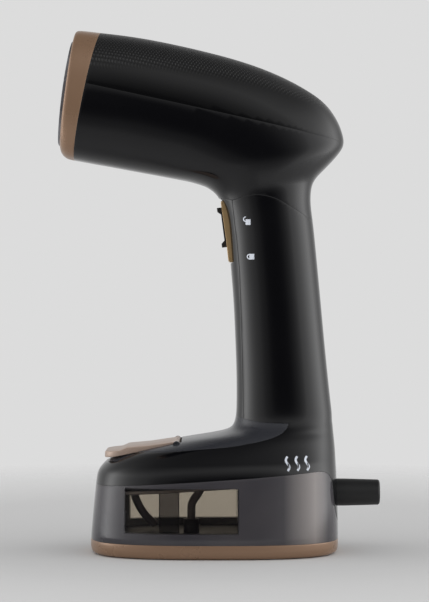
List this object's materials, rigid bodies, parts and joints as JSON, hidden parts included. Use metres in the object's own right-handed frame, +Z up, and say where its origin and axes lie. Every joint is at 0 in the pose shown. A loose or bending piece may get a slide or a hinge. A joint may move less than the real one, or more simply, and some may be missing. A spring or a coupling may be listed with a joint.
{
  "type": "garment steamer",
  "caption": "Handheld garment steamer standing on its water tank base, with a tilted steam head, trigger with lock slider, flip-up filler cap and cord guard.",
  "frame": {"origin": "centre of the foot pad's bottom face, where the steamer stands", "axes": "+Z up, -X towards the steam face, +X towards the cord guard, Y across the body"},
  "size_m": [0.1729, 0.088, 0.28],
  "materials": {
    "gloss_black": "high gloss moulded plastic",
    "head_black": "gloss with a finely dotted top",
    "rose_gold": "satin metallic paint",
    "gold": "satin gold paint",
    "smoky_tank": "smoky translucent plastic",
    "smoky_deck": "smoky gloss plastic",
    "matte_black": "fine matte",
    "rubber": "matt rubber",
    "silicone": "soft translucent silicone",
    "steel": "plain steel",
    "aluminium": "die cast",
    "plate_metal": "ceramic coated, satin",
    "board_green": "solder mask",
    "print_white": "printed ink",
    "ceramic": "unglazed ceramic"
  },
  "bodies": {
    "root": {"base_cover": "rose_gold", "foot_pad": "rubber", "base_screws": "steel", "water_tank": "smoky_tank", "tank_floor": "smoky_tank", "tank_baffles": "smoky_tank", "tank_lid": "smoky_deck", "lid_seal": "silicone", "tank_deck": "smoky_deck", "filler_pin": "steel", "pickup_hose": "silicone", "pickup_weight": "steel", "vent_hose": "silicone", "vent_valve": "ceramic", "grip_shell": "gloss_black", "grip_front_strip": "gloss_black", "lock_icons": "print_white", "trigger_pin": "steel", "trigger_spring": "steel", "microswitch": "matte_black", "control_board": "board_green", "pump_body": "matte_black", "pump_spring": "steel", "pump_bracket": "rubber", "suction_hose": "silicone", "delivery_hose": "silicone", "head_lower_shell": "head_black", "head_upper_shell": "head_black", "face_bezel": "rose_gold", "steam_plate": "plate_metal", "plate_gasket": "silicone", "steam_chamber": "aluminium", "chamber_cover": "aluminium", "chamber_screws": "steel", "heating_element": "steel", "thermostat": "ceramic", "thermal_fuse": "ceramic", "guard_seat": "matte_black", "seat_screws": "steel"},
    "cap": {"filler_cap": "rose_gold", "filler_seal": "silicone"},
    "trigger": {"trigger": "gold"},
    "slider": {"lock_slider": "matte_black"},
    "switch_plunger": {"switch_plunger": "matte_black"},
    "pump_plunger": {"pump_plunger": "steel"},
    "cord_guard": {"cord_guard": "matte_black"}
  },
  "joints": [
    {"name": "cap_hinge", "type": "hinge", "parent": "root", "child": "cap", "pos_m": [-0.0201, 0, 0.05858], "axis": [0, 1, 0], "range_deg": [0, 100]},
    {"name": "trigger_press", "type": "hinge", "parent": "root", "child": "trigger", "pos_m": [0.0104, 0, 0.18446], "axis": [0, -1, 0], "range_deg": [0, 6.5], "stiffness_Nm_per_rad": 0.3, "springref_deg": -8.59},
    {"name": "lock_slide", "type": "slide", "parent": "trigger", "child": "slider", "axis": [0.1308, 0, -0.9914], "range_m": [0, 0.006]},
    {"name": "switch_travel", "type": "slide", "parent": "root", "child": "switch_plunger", "axis": [1, 0, 0], "range_m": [0, 0.0024]},
    {"name": "pump_stroke", "type": "slide", "parent": "root", "child": "pump_plunger", "axis": [0, 0, 1], "range_m": [0, 0.004], "stiffness_N_per_m": 100, "springref_m": -0.002, "deforming": ["pump_spring"]},
    {"name": "guard_swivel", "type": "hinge", "parent": "root", "child": "cord_guard", "pos_m": [0.07, 0, 0.03154], "axis": [1, 0, 0], "range_deg": [-170, 170]}
  ],
  "couplings": [
    {"joint": "switch_travel", "follows": "trigger_press", "m_per_rad": 0.0197}
  ]
}
